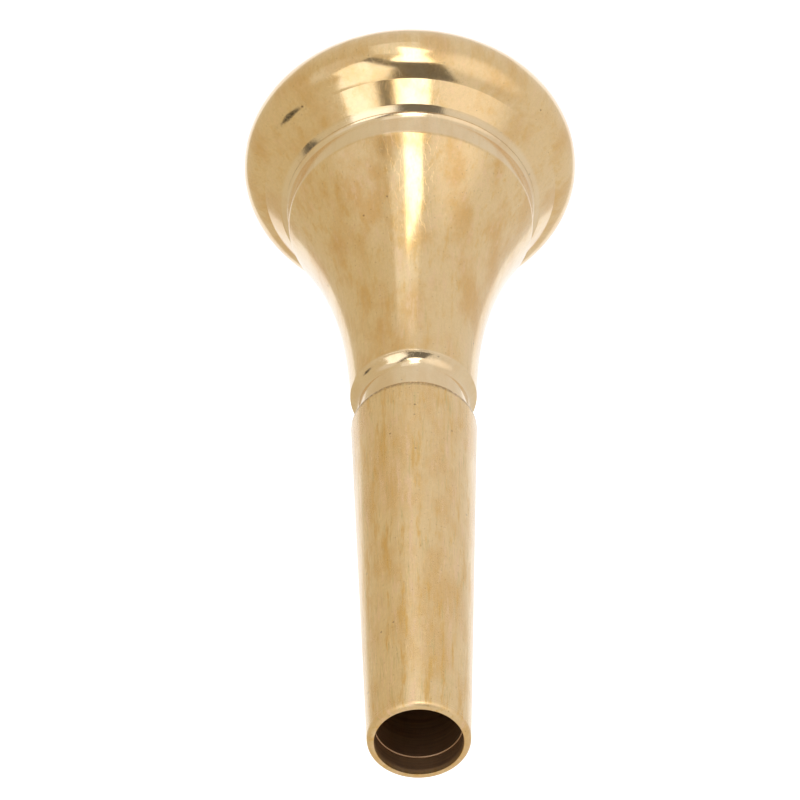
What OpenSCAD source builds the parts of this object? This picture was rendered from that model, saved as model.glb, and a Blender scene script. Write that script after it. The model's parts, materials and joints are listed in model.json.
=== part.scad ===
// French horn mouthpiece in brass: a screw-on rim, a funnel cup and a screw-in shank.
// It stands on the crown of its rim at z = 0, and the bore runs up +Z to the end of the shank.
// Every piece is a lathe turning: an outline of [radius, height] points revolved about Z.

/* [Overall] */
// Length from the crown of the rim to the open end of the shank
length = 67.4; // [64:0.1:72]
// Smallest diameter of the air way
throat_d = 4.5; // [4:0.05:5]

/* [Rim] */
// Outside diameter of the rim
rim_od = 25.5; // [24.5:0.1:26]
// Inside diameter of the rim, just below the crown
rim_id = 17.2; // [16.5:0.05:17.8]
// Radius of the outside curve, from the widest point to the crease
back_r = 2.95; // [2.8:0.01:3.2]
// Radius of the inner edge that the lips feel
bite_r = 0.6; // [0.5:0.05:0.7]
// Diameter at the crease between the rounded ring and the band
crease_d = 22.3; // [22:0.1:22.6]
// Height of the small end of the band above the crown
band_z = 7.85; // [7.7:0.05:7.95]
// Diameter at the small end of the band
band_d = 20; // [19.8:0.1:20.3]
// Height of the seat where the rim meets the cup
seat_z = 8.23; // [8.1:0.01:8.3]
// Outside diameter at the seat
seat_d = 19.16; // [19:0.02:19.4]

/* [Cup] */
// Outside diameter of the plain collar below the seat
collar_d = 18.72; // [18.6:0.02:18.8]
// Height of the lower edge of the collar
collar_z = 10.36; // [10:0.02:10.8]
// Outside diameter at the end of the neck
neck_d = 9.5; // [9.4:0.05:9.7]
// Height of the sharp edge at the end of the neck
neck_z = 30.1; // [29.8:0.1:30.4]
// Depth of the turned groove below the neck's surface
groove_depth = 0.7; // [0.5:0.05:0.75]

/* [Shank] */
// Height of the shoulder where the shank meets the cup
shank_z = 33.4; // [33.2:0.1:33.6]
// Outside diameter of the shank at its shoulder
shank_top_d = 9.44; // [9.3:0.02:9.6]
// Outside diameter of the shank at its open end
shank_end_d = 7.56; // [7.4:0.02:7.7]
// Rounding of the outer edge at the open end
end_round = 0.4; // [0.2:0.05:0.45]
// Diameter of the short counterbore at the open end
mouth_d = 6.5; // [6.3:0.05:6.6]
// Depth of that counterbore
mouth_depth = 1.8; // [1:0.1:2]
// Diameter of the backbore where it meets the counterbore
backbore_d = 6.36; // [5.9:0.02:6.4]

/* [Threads] */
// Major diameter of the cup's thread, which goes into the rim
cup_thread_d = 18.48; // [18.3:0.02:18.5]
// Major diameter of the shank's thread, which goes into the cup
tenon_d = 6.48; // [6.4:0.02:6.5]
// Length of the shank's threaded tenon
tenon_len = 5.5; // [5:0.1:6]
// Radial clearance of each thread
clearance = 0.06; // [0.04:0.01:0.08]

/* [Hidden] */
$fn = 96;

BRASS = "#d9bd85";
STEPS = 12;                                 // points along each arc
throat_r = throat_d / 2;
rim_r = rim_od / 2;
rim_in_r = rim_id / 2;
crown_r = rim_r - rim_in_r - bite_r;        // outside curve, from the crown to the widest point
socket_r = cup_thread_d / 2 + clearance;    // threaded hole in the rim
hole_r = tenon_d / 2 + clearance;           // threaded hole in the cup
lead_in = 0.3;                              // chamfer at the start of each thread
relief = 0.5;                               // width of the run-out at the end of each thread
relief_depth = 0.4;                         // how far the run-out is turned below the thread
end_gap = 0.1;                              // axial gap behind each threaded end
thread_top_z = 4.2;                         // height of the cup's threaded end
bowl_end_z = shank_z - tenon_len - end_gap; // bottom of the bowl, where the shank's tenon begins
throat_len = 4.5;                           // length of the parallel throat
throat_end_z = bowl_end_z + throat_len;
crease_angle = acos((crease_d / 2 - rim_r + back_r) / back_r);
fillet_angle = 45;                          // tilt of the fillet where it meets the seat
fillet_r = (seat_d - collar_d) / 2 / (1 - cos(fillet_angle));
wall_angle = 68;                            // tilt of the groove's wall where it leaves the neck
groove_r = groove_depth / (1 - cos(wall_angle));
groove_end_r = 4.15;                        // radius of the cup where it meets the shank
groove_flare = 2.5;                         // slope of the groove's bottom towards the shank
shoulder_round = 0.35;                      // rounding of the shank's shoulder
funnel_pull = [5.5, 18.15];                 // bends the funnel's curve near the collar
neck_pull = [4.95, 24.6];                   // bends the funnel's curve near the neck

// Points along an arc about [r, z], from angle a0 to a1, where 0 points outwards and 90 up.
function arc(r, z, radius, a0, a1, n = STEPS) =
    [for (i = [0:n]) let (a = a0 + (a1 - a0) * i / n) [r + radius * cos(a), z + radius * sin(a)]];

// Points along a cubic curve with end points p0 and p3.
function cubic(p0, p1, p2, p3, n) =
    [for (i = [0:n]) let (t = i / n, s = 1 - t)
        s * s * s * p0 + 3 * s * s * t * p1 + 3 * s * t * t * p2 + t * t * t * p3];

// Radius of the bowl at height z: steep walled at the rim, running smoothly into the throat.
function bowl_r(z) =
    throat_r + (rim_in_r - throat_r) * pow(cos(90 * (z - bite_r) / (bowl_end_z - bite_r)), 1.5);

// The bowl's wall between two heights, from z0 to z1.
function bowl(z0, z1, n) = [for (i = [0:n]) let (z = z0 + (z1 - z0) * i / n) [bowl_r(z), z]];

// The funnel's outside, from the collar to the end of the neck.
funnel = cubic([collar_d / 2, collar_z], funnel_pull, neck_pull, [neck_d / 2, neck_z], 24);

// Rounded ring, band and threaded socket. Its wall closes on the bowl inside.
module rim() {
    color(BRASS)
    rotate_extrude()
    polygon(concat(
        arc(rim_r - crown_r, crown_r, crown_r, -90, 0),
        arc(rim_r - back_r, crown_r, back_r, 0, crease_angle),
        [[band_d / 2, band_z],
         [seat_d / 2, seat_z],
         [socket_r + lead_in / 2, seat_z],
         [socket_r, seat_z - lead_in / 2],
         [socket_r, thread_top_z - end_gap + relief],
         [socket_r + relief_depth / 2, thread_top_z - end_gap + relief],
         [socket_r + relief_depth / 2, thread_top_z - end_gap]],
        bowl(thread_top_z - end_gap, bite_r, 6),
        arc(rim_in_r + bite_r, bite_r, bite_r, 180, 270)));
}

// Threaded end, collar, funnel, neck and groove, with the bowl and the shank's socket inside.
module cup() {
    color(BRASS)
    rotate_extrude()
    polygon(concat(
        [[cup_thread_d / 2 - lead_in, thread_top_z],
         [cup_thread_d / 2, thread_top_z + lead_in],
         [cup_thread_d / 2, seat_z - relief],
         [cup_thread_d / 2 - relief_depth, seat_z - relief],
         [cup_thread_d / 2 - relief_depth, seat_z]],
        arc(collar_d / 2 + fillet_r, seat_z + fillet_r * sin(fillet_angle), fillet_r,
            180 + fillet_angle, 180, 6),
        funnel,
        arc(neck_d / 2 + groove_r * cos(wall_angle), neck_z + groove_r * sin(wall_angle), groove_r,
            180 + wall_angle, 180 - groove_flare, 9),
        [[groove_end_r, shank_z],
         [hole_r + lead_in / 2, shank_z],
         [hole_r, shank_z - lead_in / 2],
         [hole_r, bowl_end_z + relief],
         [hole_r + relief_depth / 2, bowl_end_z + relief],
         [hole_r + relief_depth / 2, bowl_end_z]],
        bowl(bowl_end_z, thread_top_z, 24)));
}

// Tapered tube with a threaded tenon, the throat, the backbore and a short counterbore.
module shank() {
    color(BRASS)
    rotate_extrude()
    polygon(concat(
        [[throat_r, bowl_end_z + end_gap],
         [tenon_d / 2 - lead_in, bowl_end_z + end_gap],
         [tenon_d / 2, bowl_end_z + end_gap + lead_in],
         [tenon_d / 2, shank_z - relief],
         [tenon_d / 2 - relief_depth, shank_z - relief],
         [tenon_d / 2 - relief_depth, shank_z]],
        arc(shank_top_d / 2 - shoulder_round, shank_z + shoulder_round, shoulder_round, -90, 0, 5),
        arc(shank_end_d / 2 - end_round, length - end_round, end_round, 0, 90, 6),
        [[mouth_d / 2, length],
         [mouth_d / 2, length - mouth_depth],
         [backbore_d / 2, length - mouth_depth],
         [throat_r, throat_end_z]]));
}

rim();
cup();
shank();
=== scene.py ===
"""A French horn mouthpiece in brass: a screw-on rim, a funnel cup and a screw-in shank.

Each piece is a lathe turning. Its outline is a list of rings, worked out in millimetres in the same
frame as the CAD, and the mesh is made in metres. Threads, edge roundings and the reamer's chatter are
geometry, and the finer marks are in the material.
"""

import json
import math
from collections import namedtuple

import bpy
from mathutils import Matrix, Vector


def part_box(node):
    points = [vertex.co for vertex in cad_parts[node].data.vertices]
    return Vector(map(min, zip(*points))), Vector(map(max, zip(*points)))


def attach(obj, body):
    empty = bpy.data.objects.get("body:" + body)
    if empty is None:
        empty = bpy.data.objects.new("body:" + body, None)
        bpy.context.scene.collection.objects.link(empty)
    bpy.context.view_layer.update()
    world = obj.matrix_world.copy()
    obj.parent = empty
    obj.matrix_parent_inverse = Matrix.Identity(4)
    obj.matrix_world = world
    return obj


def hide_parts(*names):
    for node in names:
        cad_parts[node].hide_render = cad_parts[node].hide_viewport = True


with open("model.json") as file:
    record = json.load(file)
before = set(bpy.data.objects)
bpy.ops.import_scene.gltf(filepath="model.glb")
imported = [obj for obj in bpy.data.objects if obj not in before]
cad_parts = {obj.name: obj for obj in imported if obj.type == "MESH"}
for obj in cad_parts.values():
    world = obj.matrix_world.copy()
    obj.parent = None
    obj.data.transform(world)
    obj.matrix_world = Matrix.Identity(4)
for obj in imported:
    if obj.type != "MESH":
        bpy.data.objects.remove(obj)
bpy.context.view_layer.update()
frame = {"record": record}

MM = 0.001
SEGMENTS = 240                  # vertices round each ring
ARC_STEP = 3.0                  # degrees between the points of an arc
SHARP_TURN = 24.0               # a turn in the outline past this angle, in degrees, is a hard edge
STEPS_PER_PITCH = 16            # rings to one turn of a thread


def mount(name):
    """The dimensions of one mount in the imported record."""
    return next(m["dims"] for m in frame["record"]["mounts"] if m["name"] == name)


# Sizes that the frame gives, in mm.
RIM_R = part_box("rim")[1].x / MM
SEAT_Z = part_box("rim")[1].z / MM
THREAD_TOP_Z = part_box("cup")[0].z / MM
SEAT_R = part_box("cup")[1].x / MM
SHANK_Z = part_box("cup")[1].z / MM
TENON_TOP_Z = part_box("shank")[0].z / MM
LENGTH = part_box("shank")[1].z / MM
SHANK_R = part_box("shank")[1].x / MM
THROAT_R = mount("throat")["r_mm"]
MOUTH_R = mount("shank_mouth")["r_mm"]
MOUTH_DEPTH = mount("shank_mouth")["length_mm"]

# Rim, in mm.
RIM_IN_R = 8.6
BITE_R = 0.6
BACK_R = 2.95
CREASE_R = 11.15
BAND_R = 10.0
BAND_Z = 7.85
CROWN_R = RIM_R - RIM_IN_R - BITE_R

# Cup, in mm.
COLLAR_R = 9.36
COLLAR_Z = 10.36
NECK_R = 4.75
NECK_Z = 30.1
FILLET_ANGLE = 45
GROOVE_DEPTH = 0.7
WALL_ANGLE = 68
GROOVE_END_R = 4.15
GROOVE_FLARE = 2.5
FUNNEL_PULL = (5.5, 18.15)
NECK_PULL = (4.95, 24.6)
FILLET_R = (SEAT_R - COLLAR_R) / (1 - math.cos(math.radians(FILLET_ANGLE)))
GROOVE_R = GROOVE_DEPTH / (1 - math.cos(math.radians(WALL_ANGLE)))

# Shank and bore, in mm.
SHANK_END_R = 3.78
END_ROUND = 0.4
SHOULDER_ROUND = 0.35
BACKBORE_R = 3.18
THROAT_LENGTH = 4.5
END_GAP = 0.1                   # axial gap behind each threaded end
BOWL_END_Z = TENON_TOP_Z - END_GAP
THROAT_END_Z = BOWL_END_Z + THROAT_LENGTH

# Threads, in mm.
CUP_THREAD_R = 9.24
CUP_PITCH = 0.8
TENON_R = 3.24
TENON_PITCH = 0.6
CLEARANCE = 0.06
CUT = 0.6                       # depth of a thread over its pitch
RELIEF = 0.5                    # width of the run-out at the end of each thread
RELIEF_DEPTH = 0.4              # depth of a male thread's run-out, and twice that of a female one
LEAD_IN = 0.3
END_FADE = 0.1                  # length over which a cut fades out next to its run-out

# Roundings of the turned edges, in mm.
BAND_ROUND = 0.3
COLLAR_ROUND = 1.0
RELIEF_ROUND = 0.1
NECK_ROUND = 0.04
SEAT_ROUND = 0.05
STEP_ROUND = 0.05
MOUTH_ROUND = 0.06
FINE_ROUND = 0.03

# The reamer's chatter in the backbore, in mm: its depth, and the two wavelengths that beat together.
CHATTER = 0.008
CHATTER_WAVES = (1.7, 4.6)
BACKBORE_RINGS = 120

# One ring of a turning. bore is 1 on the inside of the air way and 0 outside, cut is how deep a thread
# is cut at this ring, and pitch is that thread's pitch.
Ring = namedtuple("Ring", "r z bore cut pitch", defaults=(0.0, 0.0, 1.0))


def rings(points, bore=0.0):
    """Plain rings through [radius, height] points."""
    return [Ring(r, z, bore) for r, z in points]


def arc(r, z, radius, a0, a1):
    """Points along an arc about (r, z), where 0 degrees points outwards and 90 up."""
    n = max(3, round(abs(a1 - a0) / ARC_STEP))
    angles = [math.radians(a0 + (a1 - a0) * i / n) for i in range(n + 1)]
    return [(r + radius * math.cos(a), z + radius * math.sin(a)) for a in angles]


def cubic(p0, p1, p2, p3, n):
    """Points along a cubic curve with end points p0 and p3."""
    def at(t):
        s = 1 - t
        weights = (s * s * s, 3 * s * s * t, 3 * s * t * t, t * t * t)
        return tuple(sum(w * p[k] for w, p in zip(weights, (p0, p1, p2, p3))) for k in (0, 1))
    return [at(i / n) for i in range(n + 1)]


def rounded(corners, steps=5):
    """A polyline of (radius, height, rounding) corners, with an arc at each rounded corner."""
    points = [corners[0][:2]]
    for before, here, after in zip(corners, corners[1:], corners[2:]):
        corner = Vector(here[:2])
        back = (Vector(before[:2]) - corner).normalized()
        on = (Vector(after[:2]) - corner).normalized()
        half = back.angle(on) / 2
        if here[2] == 0:
            points.append(tuple(corner))
            continue
        start = corner + back * here[2] / math.tan(half)
        end = corner + on * here[2] / math.tan(half)
        centre = corner + (back + on).normalized() * here[2] / math.sin(half)
        for i in range(steps + 1):
            spoke = (start - centre).slerp(end - centre, i / steps)    # has unit length
            points.append(tuple(centre + spoke * here[2]))
    points.append(corners[-1][:2])
    return points


def thread(radius_at, z0, z1, pitch, fade):
    """Threaded rings from z0 to z1. radius_at gives the uncut radius, and the cut fades out at each end."""
    n = round(abs(z1 - z0) / pitch * STEPS_PER_PITCH)
    made = []
    for i in range(n + 1):
        z = z0 + (z1 - z0) * i / n
        ends = min(abs(z - z0) / fade[0], abs(z1 - z) / fade[1], 1.0)
        made.append(Ring(radius_at(z), z, 0.0, CUT * pitch * ends, pitch))
    return made


def tooth(turns):
    """Depth of a thread's profile, 0 on the crest and 1 at the root, with rounded flats."""
    return min(max(0.5 + 0.85 * math.cos(2 * math.pi * turns), 0.0), 1.0)


def bowl(z0, z1, n):
    """The bowl's wall: steep at the rim, and running smoothly into the throat."""
    def radius(z):
        share = math.cos(math.pi / 2 * (z - BITE_R) / (BOWL_END_Z - BITE_R))
        return THROAT_R + (RIM_IN_R - THROAT_R) * max(share, 0.0) ** 1.5
    heights = [z0 + (z1 - z0) * i / n for i in range(n + 1)]
    return rings([(radius(z), z) for z in heights], bore=1.0)


def turning(name, outline, body, material):
    """Adds the mesh made by turning a closed outline about Z, which stands for the body's CAD node."""
    verts, worn = [], []
    for ring in outline:
        for k in range(SEGMENTS):
            share = k / SEGMENTS
            r = ring.r - ring.cut * tooth(ring.z / ring.pitch - share)
            angle = 2 * math.pi * share
            verts.append((r * math.cos(angle) * MM, r * math.sin(angle) * MM, ring.z * MM))
            worn.append(ring.bore)
    count = len(outline)
    faces = []
    for i in range(count):
        a, b = i * SEGMENTS, (i + 1) % count * SEGMENTS
        for k in range(SEGMENTS):
            m = (k + 1) % SEGMENTS
            faces.append((a + k, a + m, b + m, b + k))
    mesh = bpy.data.meshes.new(name)
    mesh.from_pydata(verts, [], faces)
    mesh.shade_smooth()
    mesh.attributes.new("bore", "FLOAT", "POINT").data.foreach_set("value", worn)
    mark_hard_edges(mesh, outline)
    mesh.materials.append(material)
    piece = bpy.data.objects.new(name, mesh)
    bpy.context.scene.collection.objects.link(piece)
    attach(piece, body)
    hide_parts(body)


def mark_hard_edges(mesh, outline):
    """Marks a ring's edges as sharp where the outline turns hard."""
    hard = set()
    for i, ring in enumerate(outline):
        before, after = outline[i - 1], outline[(i + 1) % len(outline)]
        come = Vector((ring.r - before.r, ring.z - before.z))
        go = Vector((after.r - ring.r, after.z - ring.z))
        if math.degrees(come.angle(go, 0.0)) > SHARP_TURN:
            hard.add(i)
    for edge in mesh.edges:
        a, b = (v // SEGMENTS for v in edge.vertices)
        if a == b and a in hard:
            edge.use_edge_sharp = True


def rim_outline():
    """From the crown outwards round the ring, over the band to the seat, and back through the socket."""
    crease_angle = math.degrees(math.acos((CREASE_R - RIM_R + BACK_R) / BACK_R))
    socket_r = CUP_THREAD_R + CLEARANCE
    socket_end_z = THREAD_TOP_Z - END_GAP
    relief_r = socket_r + RELIEF_DEPTH / 2

    def socket(z):
        return socket_r + max(0.0, z - (SEAT_Z - LEAD_IN / 2))
    outside = arc(RIM_R - CROWN_R, CROWN_R, CROWN_R, -90, 0)
    outside += arc(RIM_R - BACK_R, CROWN_R, BACK_R, 0, crease_angle)[1:]
    outside += rounded([(CREASE_R, CROWN_R + BACK_R * math.sin(math.radians(crease_angle)), 0),
                        (BAND_R, BAND_Z, BAND_ROUND),
                        (SEAT_R, SEAT_Z, SEAT_ROUND),
                        (socket_r + LEAD_IN / 2, SEAT_Z, 0)])[1:]
    inside = thread(socket, SEAT_Z, socket_end_z + RELIEF, CUP_PITCH, (0.6, END_FADE))[1:]
    inside += rings([(relief_r, socket_end_z + RELIEF), (relief_r, socket_end_z)])
    wall = bowl(socket_end_z, BITE_R, 8)
    bite = rings(arc(RIM_IN_R + BITE_R, BITE_R, BITE_R, 180, 270)[1:-1])
    return rings(outside) + inside + wall + bite


def cup_outline():
    """From the threaded end over the collar, the funnel and the groove, and back through the bowl."""
    relief_r = CUP_THREAD_R - RELIEF_DEPTH
    hole_r = TENON_R + CLEARANCE

    def male(z):
        return CUP_THREAD_R - max(0.0, THREAD_TOP_Z + LEAD_IN - z)

    def female(z):
        return hole_r + max(0.0, z - (SHANK_Z - LEAD_IN / 2))
    fillet_z = SEAT_Z + FILLET_R * math.sin(math.radians(FILLET_ANGLE))
    fillet = arc(COLLAR_R + FILLET_R, fillet_z, FILLET_R, 180 + FILLET_ANGLE, 180)
    wall = math.radians(WALL_ANGLE)
    funnel = cubic((COLLAR_R, COLLAR_Z), FUNNEL_PULL, NECK_PULL, (NECK_R, NECK_Z), 60)
    start = thread(male, THREAD_TOP_Z, SEAT_Z - RELIEF, CUP_PITCH, (LEAD_IN, END_FADE))
    outside = rounded([(CUP_THREAD_R, SEAT_Z - RELIEF, 0), (relief_r, SEAT_Z - RELIEF, RELIEF_ROUND),
                       (relief_r, SEAT_Z, RELIEF_ROUND), (SEAT_R, SEAT_Z, FINE_ROUND),
                       fillet[1] + (0,)])[1:-1]
    outside += fillet[1:]
    outside += rounded([outside[-1] + (0,), (COLLAR_R, COLLAR_Z, COLLAR_ROUND), funnel[3] + (0,)])[1:]
    outside += funnel[4:-1]
    groove = arc(NECK_R + GROOVE_R * math.cos(wall), NECK_Z + GROOVE_R * math.sin(wall), GROOVE_R,
                 180 + WALL_ANGLE, 180 - GROOVE_FLARE)
    outside += rounded([funnel[-2] + (0,), (NECK_R, NECK_Z, NECK_ROUND), groove[1] + (0,)])[1:-1]
    outside += groove[1:]
    outside += rounded([outside[-1] + (0,), (GROOVE_END_R, SHANK_Z, FINE_ROUND),
                        (hole_r + LEAD_IN / 2, SHANK_Z, 0)])[1:]
    inside = thread(female, SHANK_Z, BOWL_END_Z + RELIEF, TENON_PITCH, (0.5, END_FADE))[1:]
    run_out_r = hole_r + RELIEF_DEPTH / 2
    inside += rings([(run_out_r, BOWL_END_Z + RELIEF), (run_out_r, BOWL_END_Z)])
    return start + rings(outside) + inside + bowl(BOWL_END_Z, THREAD_TOP_Z, 48)


def shank_outline():
    """From the tenon over the shoulder and the taper to the open end, and back through the bore."""
    relief_r = TENON_R - RELIEF_DEPTH

    def male(z):
        return TENON_R - max(0.0, TENON_TOP_Z + LEAD_IN - z)
    start = thread(male, TENON_TOP_Z, SHANK_Z - RELIEF, TENON_PITCH, (LEAD_IN, END_FADE))
    wall_z = LENGTH - 0.5                       # a height on the straight wall of the counterbore
    outside = rounded([(TENON_R, SHANK_Z - RELIEF, 0), (relief_r, SHANK_Z - RELIEF, RELIEF_ROUND),
                       (relief_r, SHANK_Z, RELIEF_ROUND), (SHANK_R, SHANK_Z, SHOULDER_ROUND),
                       (SHANK_END_R, LENGTH, END_ROUND), (MOUTH_R, LENGTH, MOUTH_ROUND),
                       (MOUTH_R, wall_z, 0)], steps=8)[1:-1]
    step_z = LENGTH - MOUTH_DEPTH
    inside = rounded([(MOUTH_R, wall_z, 0), (MOUTH_R, step_z, FINE_ROUND),
                      (BACKBORE_R, step_z, STEP_ROUND),
                      (BACKBORE_R - 0.01, step_z - 0.5, 0)])[:-1]
    return start + rings(outside) + rings(inside, bore=1.0) + backbore(step_z - 0.1)


def backbore(z0):
    """The tapered bore, with the faint chatter that the reamer left in its wide end."""
    made = []
    for i in range(BACKBORE_RINGS + 1):
        z = z0 + (TENON_TOP_Z - z0) * i / BACKBORE_RINGS
        taper = max(0.0, (z - THROAT_END_Z) / (z0 - THROAT_END_Z))
        beat = [math.sin(2 * math.pi * z / wave) for wave in CHATTER_WAVES]
        chatter = CHATTER * taper * beat[0] * beat[1]
        made.append((THROAT_R + (BACKBORE_R - THROAT_R) * taper + chatter, z))
    return rings(made, bore=1.0)


class Nodes:
    """Short calls for building a material's node tree."""

    def __init__(self, tree):
        self.tree = tree

    def add(self, kind, inputs=None, **settings):
        node = self.tree.nodes.new(kind)
        for key, value in settings.items():
            setattr(node, key, value)
        for key, value in (inputs or {}).items():
            self.feed(node.inputs[key], value)
        return node

    def feed(self, socket, value):
        if isinstance(value, bpy.types.NodeSocket):
            self.tree.links.new(value, socket)
        else:
            socket.default_value = value

    def math(self, operation, a, b=0.0, c=0.0):
        return self.add("ShaderNodeMath", {0: a, 1: b, 2: c}, operation=operation).outputs[0]

    def scaled(self, vector, scale, turn=(0, 0, 0)):
        inputs = {"Vector": vector, "Scale": scale, "Rotation": turn}
        return self.add("ShaderNodeMapping", inputs).outputs[0]

    def noise(self, vector, scale, detail=4.0, rough=0.55):
        inputs = {"Vector": vector, "Scale": scale, "Detail": detail, "Roughness": rough}
        return self.add("ShaderNodeTexNoise", inputs).outputs["Fac"]

    def between(self, value, low, high):
        """0 below low, 1 above high, and smooth in between."""
        inputs = {"Value": value, "From Min": low, "From Max": high}
        return self.add("ShaderNodeMapRange", inputs, interpolation_type="SMOOTHSTEP").outputs[0]

    def mix(self, factor, a, b, blend="MIX"):
        node = self.add("ShaderNodeMix", {"Factor": factor}, data_type="RGBA", blend_type=blend)
        self.feed(node.inputs[6], a)
        self.feed(node.inputs[7], b)
        return node.outputs[2]


BELT_FADE = 0.15                # half the length, in mm, over which a belt fades at each end
PALE = (0.83, 0.615, 0.335, 1)
DEEP = (0.72, 0.44, 0.16, 1)
ORANGE = (0.74, 0.46, 0.15, 1)
GREEN = (0.66, 0.51, 0.24, 1)
PINK = (0.86, 0.60, 0.36, 1)
PIT = (0.20, 0.12, 0.05, 1)
# the paler colour of a painted reflection, laid on some belts
REFLECTION_PAINT = (0.88, 0.74, 0.54, 1)
BROWN = (0.42, 0.26, 0.16, 1)
RUST = (0.56, 0.37, 0.22, 1)


def specks(n, place, scale, size, share):
    """Round specks: scale is the cells to a mm, size the radius in cells, share how many are filled."""
    cells = n.add("ShaderNodeTexVoronoi", {"Vector": place, "Scale": scale, "Randomness": 1.0})
    lot = n.add("ShaderNodeSeparateColor", {0: cells.outputs["Color"]}).outputs[0]
    dot = n.between(cells.outputs["Distance"], size * 1.4, size * 0.6)
    return n.math("MULTIPLY", dot, n.math("GREATER_THAN", lot, 1 - share))


def hairlines(n, place, turn, scale, width):
    """Thin lengthwise scratches: the level lines of a noise that is stretched along the piece."""
    field = n.noise(n.scaled(place, (1, 1, 0.05), turn), scale, 1.0, 0.4)
    return n.between(n.math("ABSOLUTE", n.math("SUBTRACT", field, 0.5)), width, 0.0)


def belt(n, height, z0, z1):
    """1 between two heights in mm, fading at each end."""
    start = n.between(height, z0 - BELT_FADE, z0 + BELT_FADE)
    return n.math("MULTIPLY", start, n.between(height, z1 + BELT_FADE, z1 - BELT_FADE))


def belts(n, height, spans):
    """1 inside any of the spans."""
    total = 0.0
    for low, high in spans:
        total = n.math("MAXIMUM", total, belt(n, height, low, high))
    return total


def brass(name, rough, tarnish, streak, scratch, pits, reflection_belts, dull, grime):
    """Brass with soft tarnish, lengthwise streaks, hairlines, specks, and a dark bore.

    rough is the base roughness, and tarnish, streak, scratch and pits say how much of each there is.
    Then come three lists of belts, each from one height to another in mm. On the first, a paler colour is
    painted on as a painted reflection; dull lists those that are less polished, and grime those where
    brown dirt has settled.
    """
    material = bpy.data.materials.new(name)
    material.use_nodes = True
    tree = material.node_tree
    tree.nodes.clear()
    n = Nodes(tree)
    place = n.add("ShaderNodeTexCoord").outputs["Object"]
    mm = n.scaled(place, (1 / MM,) * 3)
    bore = n.add("ShaderNodeAttribute", attribute_name="bore").outputs["Fac"]

    patches = n.between(n.noise(n.scaled(mm, (1, 1, 0.5)), 0.34, 4.0, 0.6), 0.40, 0.66)
    mottle = n.noise(mm, 4.0, 6.0, 0.75)
    streaks = n.noise(n.scaled(mm, (1, 1, 0.13)), 1.5, 5.0, 0.7)
    veins = n.noise(n.scaled(mm, (1, 1, 0.09), (0.04, 0.05, 2)), 4.2, 4.0, 0.65)
    threads = n.noise(n.scaled(mm, (1, 1, 0.035)), 11.0, 2.0, 0.6)
    lines = n.math("MAXIMUM", hairlines(n, mm, (0.10, 0.04, 0), 1.6, 0.006),
                   hairlines(n, mm, (-0.14, 0.11, 1), 1.1, 0.005))
    height = n.add("ShaderNodeSeparateXYZ", {0: mm}).outputs["Z"]
    # painted reflection: the belts whose colour is painted paler
    painted_reflection = belts(n, height, reflection_belts)
    machined = n.noise(n.scaled(mm, (0.05, 0.05, 1)), 3.0, 4.0, 0.7)
    dark = specks(n, mm, 1.1, 0.09, pits)
    small = specks(n, mm, 3.3, 0.16, pits * 1.5)

    colour = n.mix(n.math("MULTIPLY", patches, tarnish), PALE, DEEP)
    colour = n.mix(n.math("MULTIPLY", n.between(streaks, 0.50, 0.68), streak), colour, ORANGE)
    colour = n.mix(n.math("MULTIPLY", n.between(streaks, 0.48, 0.32), streak), colour, PINK)
    colour = n.mix(n.math("MULTIPLY", n.between(veins, 0.55, 0.72), streak * 0.8), colour, GREEN)
    shade = n.math("ADD", 0.87, n.math("MULTIPLY", mottle, 0.26))
    shade = n.math("SUBTRACT", shade, n.math("MULTIPLY", n.between(threads, 0.55, 0.8), scratch * 0.10))
    shade = n.math("ADD", shade, n.math("MULTIPLY", lines, scratch * 0.06))
    colour = n.mix(1.0, colour, n.add("ShaderNodeCombineColor", {0: shade, 1: shade, 2: shade}).outputs[0],
                   "MULTIPLY")
    colour = n.mix(n.math("MULTIPLY", n.math("MAXIMUM", dark, n.math("MULTIPLY", small, 0.5)), 0.7),
                   colour, PIT)
    # the paler colour is painted on the belts here: a painted reflection
    colour = n.mix(n.math("MULTIPLY", painted_reflection, 0.5), colour, REFLECTION_PAINT)
    dirt = n.math("MULTIPLY", belts(n, height, grime), n.between(mottle, 0.30, 0.62))
    colour = n.mix(n.math("MULTIPLY", dirt, 0.75), colour, PIT)
    old = n.mix(n.between(machined, 0.35, 0.7), BROWN, RUST)
    colour = n.mix(n.math("MULTIPLY", bore, 0.85), colour, old)

    wear = n.math("ADD", n.math("MULTIPLY", threads, scratch), n.math("MULTIPLY", mottle, scratch * 0.5))
    wear = n.math("SUBTRACT", wear, n.math("MULTIPLY", lines, scratch))
    wear = n.math("SUBTRACT", wear, n.math("MULTIPLY", dark, 3.0))
    wear = n.math("ADD", wear, n.math("MULTIPLY", n.math("MULTIPLY", bore, machined), 6.0))
    roughness = n.math("ADD", rough - 0.03, n.math("MULTIPLY", mottle, 0.06))
    roughness = n.math("ADD", roughness, n.math("MULTIPLY", patches, 0.04))
    roughness = n.math("ADD", roughness, n.math("MULTIPLY", bore, 0.2))
    roughness = n.math("ADD", roughness, n.math("MULTIPLY", belts(n, height, dull), 0.16))
    bump = n.add("ShaderNodeBump", {"Height": wear, "Strength": 1.0, "Distance": 0.002 * MM})
    shader = n.add("ShaderNodeBsdfPrincipled", {
        "Base Color": colour, "Metallic": 1.0, "Roughness": roughness, "Normal": bump.outputs[0],
        "Coat Weight": 0.5, "Coat Roughness": 0.12})
    out = n.add("ShaderNodeOutputMaterial")
    tree.links.new(shader.outputs[0], out.inputs[0])
    return material


# The camera sees the open end of the shank, with the rim at the top of the picture.
CAMERA_AT = Vector((0, -476.54, 562.30))
LOOKS_AT = Vector((1.017, 0, 30.393))
UP = Vector((0, -1, 0))
ROLL = -0.01707                 # radians
LENS = 428.75
SENSOR = 36.0


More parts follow.
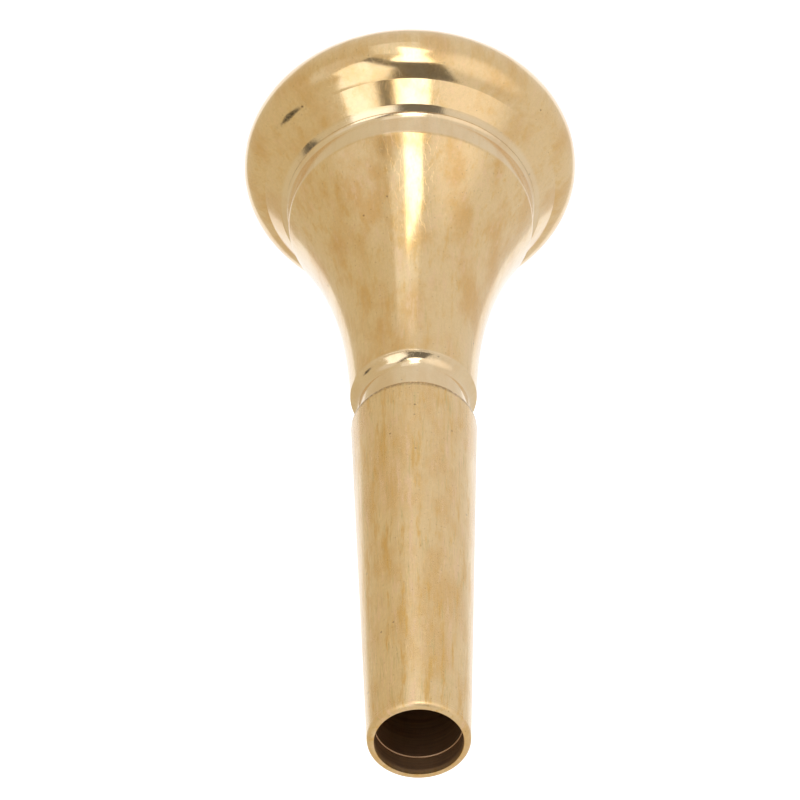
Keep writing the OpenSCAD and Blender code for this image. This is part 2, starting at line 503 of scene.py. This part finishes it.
def add_camera():
    """The photograph's view: from far off with a long lens."""
    ahead = (LOOKS_AT - CAMERA_AT).normalized()
    right = ahead.cross(UP).normalized()
    up = right.cross(ahead)
    turned_right = right * math.cos(ROLL) + up * math.sin(ROLL)
    turned_up = up * math.cos(ROLL) - right * math.sin(ROLL)
    data = bpy.data.cameras.new("camera")
    data.sensor_width = SENSOR
    data.lens = LENS
    data.clip_start = 0.01
    data.clip_end = 20
    camera = bpy.data.objects.new("camera", data)
    camera.matrix_world = matrix_of(turned_right, turned_up, -ahead, CAMERA_AT * MM)
    bpy.context.scene.collection.objects.link(camera)
    bpy.context.scene.camera = camera


def matrix_of(x, y, z, at):
    """A 4 by 4 matrix from three axes and a place."""
    made = Matrix((x, y, z)).transposed().to_4x4()
    made.translation = at
    return made


FLOOR_HALF = 4.0                # m, half the width of the floor
TENT = 3.0                      # m, how far off the panels of the light tent hang
TENT_LEFT = (0.68, 0.61, 0.46, 1)
TENT_RIGHT = (0.80, 0.77, 0.72, 1)
TENT_BRIGHT = (1.10, 1.05, 1.00, 1)


def direction(pitch, side):
    """Where a panel's corner hangs: pitch goes from the front (0) to overhead (90), side to the right."""
    p, s = math.radians(pitch), math.radians(side)
    return Vector((-math.sin(s), -math.cos(s) * math.cos(p), math.cos(s) * math.sin(p)))


def emission(name, colour, strength):
    """A material that only glows."""
    material = bpy.data.materials.new(name)
    material.use_nodes = True
    material.node_tree.nodes.clear()
    n = Nodes(material.node_tree)
    glow = n.add("ShaderNodeEmission", {"Color": colour, "Strength": strength})
    n.tree.links.new(glow.outputs[0], n.add("ShaderNodeOutputMaterial").inputs[0])
    return material


def panel(name, corners, colour, strength, distance=TENT):
    """A flat panel of the tent that only the polish sees. corners are (pitch, side) in degrees."""
    mesh = bpy.data.meshes.new(name)
    centre = Vector((0, 0, LENGTH / 2 * MM))
    points = [centre + direction(*c) * distance for c in corners]
    mesh.from_pydata(points, [], [tuple(range(len(points)))])
    mesh.materials.append(emission(name, colour, strength))
    made = bpy.data.objects.new(name, mesh)
    bpy.context.scene.collection.objects.link(made)
    made.visible_camera = False
    made.visible_shadow = False


def glow(n, way, centre, reach):
    """A soft round patch on the tent: 1 at its centre and 0 past its reach in degrees."""
    facing = n.add("ShaderNodeVectorMath", {0: way, 1: centre}, operation="DOT_PRODUCT").outputs["Value"]
    return n.between(facing, math.cos(math.radians(reach)), 1.0)


def add_world():
    """The tent's even cloth, warmer and darker on the left. The camera sees it as plain white."""
    world = bpy.data.worlds.new("tent")
    world.use_nodes = True
    world.node_tree.nodes.clear()
    n = Nodes(world.node_tree)
    way = n.add("ShaderNodeTexCoord").outputs["Generated"]
    left = n.between(n.add("ShaderNodeSeparateXYZ", {0: way}).outputs["X"], -0.1, 0.8)
    cloth = n.mix(left, TENT_RIGHT, TENT_LEFT)
    cloth = n.mix(glow(n, way, direction(15, 40), 36), cloth, TENT_BRIGHT)
    cloth = n.mix(glow(n, way, direction(-5, -46), 25), cloth, TENT_RIGHT)
    seen = n.add("ShaderNodeLightPath").outputs["Is Camera Ray"]
    sky = n.add("ShaderNodeBackground", {"Color": n.mix(seen, cloth, (1, 1, 1, 1)), "Strength": 1.0})
    n.tree.links.new(sky.outputs[0], n.add("ShaderNodeOutputWorld").inputs[0])
    bpy.context.scene.world = world


def add_light():
    """The tent's cloth, four bright windows, the backdrop, and two dark panels: the slot and the card."""
    add_world()
    white = (1, 1, 1, 1)
    panel("window_high", [(-24, -5), (-12, 12), (3, 9), (24, 15), (27, 3), (22, -10), (14, -9), (3, -4)],
          white, strength=2.8)
    panel("window_low", [(-42, -18), (-42, 5), (-12, 12), (-24, -5), (3, -4), (-8, -19)], white,
          strength=0.98)
    panel("window_mid", [(-24, -5), (-12, 12), (-24, 10), (-36, -3)], white, strength=1.35,
          distance=TENT * 0.995)
    panel("window_side", [(6, -33), (17, -45), (36, -38), (74, -28), (74, -8), (40, -8), (10, -21)],
          (0.97, 1.0, 1.06, 1), strength=1.55)
    panel("backdrop", [(-100, -30), (-100, 30), (-165, 30), (-165, -30)], white, strength=1.1)
    dark = (1, 0.96, 0.9, 1)
    near = TENT * 0.99
    panel("slot", [(27, 19), (74, 19), (74, -7), (42, -7), (4, -27), (-2, -22), (27, -4)], dark,
          strength=0.19, distance=near)
    panel("card", [(99, -63), (95, -52), (82, -50), (76, -57), (81, -67)], dark,
          strength=0.1, distance=near)


def add_floor():
    """The plain white floor that the mouthpiece stands on."""
    mesh = bpy.data.meshes.new("floor")
    corners = [(-1, -1), (1, -1), (1, 1), (-1, 1)]
    mesh.from_pydata([(x * FLOOR_HALF, y * FLOOR_HALF, 0) for x, y in corners], [], [(0, 1, 2, 3)])
    material = bpy.data.materials.new("floor_white")
    material.use_nodes = True
    shader = material.node_tree.nodes["Principled BSDF"]
    shader.inputs["Base Color"].default_value = (0.9, 0.9, 0.9, 1)
    shader.inputs["Roughness"].default_value = 0.8
    shader.inputs["Emission Color"].default_value = (1, 1, 1, 1)
    shader.inputs["Emission Strength"].default_value = 0.7
    mesh.materials.append(material)
    floor = bpy.data.objects.new("floor", mesh)
    bpy.context.scene.collection.objects.link(floor)
    floor.visible_glossy = False
    floor.visible_shadow = False


add_camera()
# In each call the first list of belts is a painted reflection: a paler colour on the rim's step, the cup's
# collar and its groove.
rim_brass = brass("rim_brass", rough=0.12, tarnish=0.6, streak=0.4, scratch=0.3, pits=0.05,
                  reflection_belts=[(7.9, 8.3)], dull=[(0, 1)], grime=[])
cup_brass = brass("cup_brass", rough=0.12, tarnish=0.85, streak=0.6, scratch=0.6, pits=0.08,
                  reflection_belts=[(8.2, 10.3), (30.0, 33.5)], dull=[], grime=[])
shank_brass = brass("shank_brass", rough=0.24, tarnish=0.6, streak=1.0, scratch=1.3, pits=0.16,
                    reflection_belts=[], dull=[(66.9, 68)], grime=[(33.4, 33.9)])
turning("rim_turned", rim_outline(), "rim", rim_brass)
turning("cup_turned", cup_outline(), "cup", cup_brass)
turning("shank_turned", shank_outline(), "shank", shank_brass)
add_light()
add_floor()
bpy.context.scene.view_settings.view_transform = "Standard"
